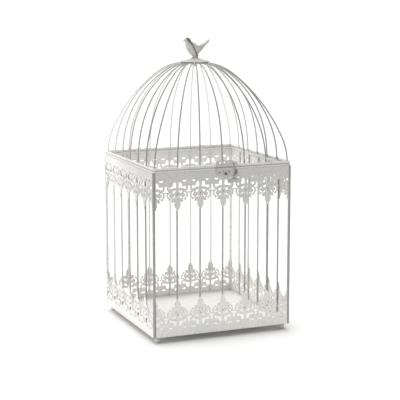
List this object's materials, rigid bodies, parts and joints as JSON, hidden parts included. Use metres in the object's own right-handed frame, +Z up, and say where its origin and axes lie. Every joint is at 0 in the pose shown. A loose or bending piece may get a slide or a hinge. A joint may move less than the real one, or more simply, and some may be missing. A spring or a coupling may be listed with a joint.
{
  "type": "wedding card box",
  "caption": "Square white wire birdcage with pierced lace bands, a hinged dome lid with a bird finial and a swing-hook latch, for collecting cards.",
  "frame": {"origin": "on the surface that the box stands on, under the centre of the cage", "axes": "+Z up; -Y towards the front, where the latch is; +Y towards the hinge; +X to the right, seen from the front"},
  "size_m": [0.216, 0.2193, 0.4306],
  "materials": {
    "painted_wire": "satin antique-white paint on steel wire",
    "painted_lace": "satin antique-white paint on pierced steel sheet",
    "painted_floor": "satin antique-white paint on steel sheet",
    "painted_feet": "satin antique-white paint on turned steel",
    "painted_crown": "satin antique-white paint on pressed steel",
    "painted_bird": "satin antique-white paint on cast metal",
    "painted_latch": "satin white paint on small steel fittings, worn and dusty",
    "steel_pins": "dark bare steel rivets and pins"
  },
  "bodies": {
    "cage": {"floor_plate": "painted_floor", "bottom_rim": "painted_wire", "top_rim": "painted_wire", "post_front_left": "painted_wire", "post_front_right": "painted_wire", "post_back_right": "painted_wire", "post_back_left": "painted_wire", "foot_front_left": "painted_feet", "foot_front_right": "painted_feet", "foot_back_right": "painted_feet", "foot_back_left": "painted_feet", "bar_front_1": "painted_wire", "bar_front_2": "painted_wire", "bar_front_3": "painted_wire", "bar_front_4": "painted_wire", "bar_front_5": "painted_wire", "bar_right_1": "painted_wire", "bar_right_2": "painted_wire", "bar_right_3": "painted_wire", "bar_right_4": "painted_wire", "bar_right_5": "painted_wire", "bar_back_1": "painted_wire", "bar_back_2": "painted_wire", "bar_back_3": "painted_wire", "bar_back_4": "painted_wire", "bar_back_5": "painted_wire", "bar_left_1": "painted_wire", "bar_left_2": "painted_wire", "bar_left_3": "painted_wire", "bar_left_4": "painted_wire", "bar_left_5": "painted_wire", "upper_band_front": "painted_lace", "upper_band_right": "painted_lace", "upper_band_back": "painted_lace", "upper_band_left": "painted_lace", "lower_band_front": "painted_lace", "lower_band_right": "painted_lace", "lower_band_back": "painted_lace", "lower_band_left": "painted_lace", "hinge_loop_left": "painted_wire", "hinge_loop_right": "painted_wire", "keeper_plate": "painted_latch", "keeper_rivets": "steel_pins", "keeper_stud": "steel_pins"},
    "lid": {"lid_frame": "painted_wire", "dome_wire_front_left": "painted_wire", "dome_wire_front_right": "painted_wire", "dome_wire_back_right": "painted_wire", "dome_wire_back_left": "painted_wire", "dome_wires_front": "painted_wire", "dome_wires_right": "painted_wire", "dome_wires_back": "painted_wire", "dome_wires_left": "painted_wire", "crown_hub": "painted_crown", "crown_cap": "painted_crown", "finial_nut": "painted_crown", "bird_finial": "painted_bird", "latch_plate": "painted_latch", "hook_pivot": "painted_latch"},
    "latch_hook": {"latch_hook": "painted_latch"}
  },
  "joints": [
    {"name": "lid_hinge", "type": "hinge", "parent": "cage", "child": "lid", "pos_m": [0, 0.106, 0.2525], "axis": [-1, 0, 0], "range_deg": [0, 175]},
    {"name": "hook_swing", "type": "hinge", "parent": "lid", "child": "latch_hook", "pos_m": [0.0185, -0.1093, 0.2545], "axis": [0, 1, 0], "range_deg": [-60, 42.5]}
  ]
}
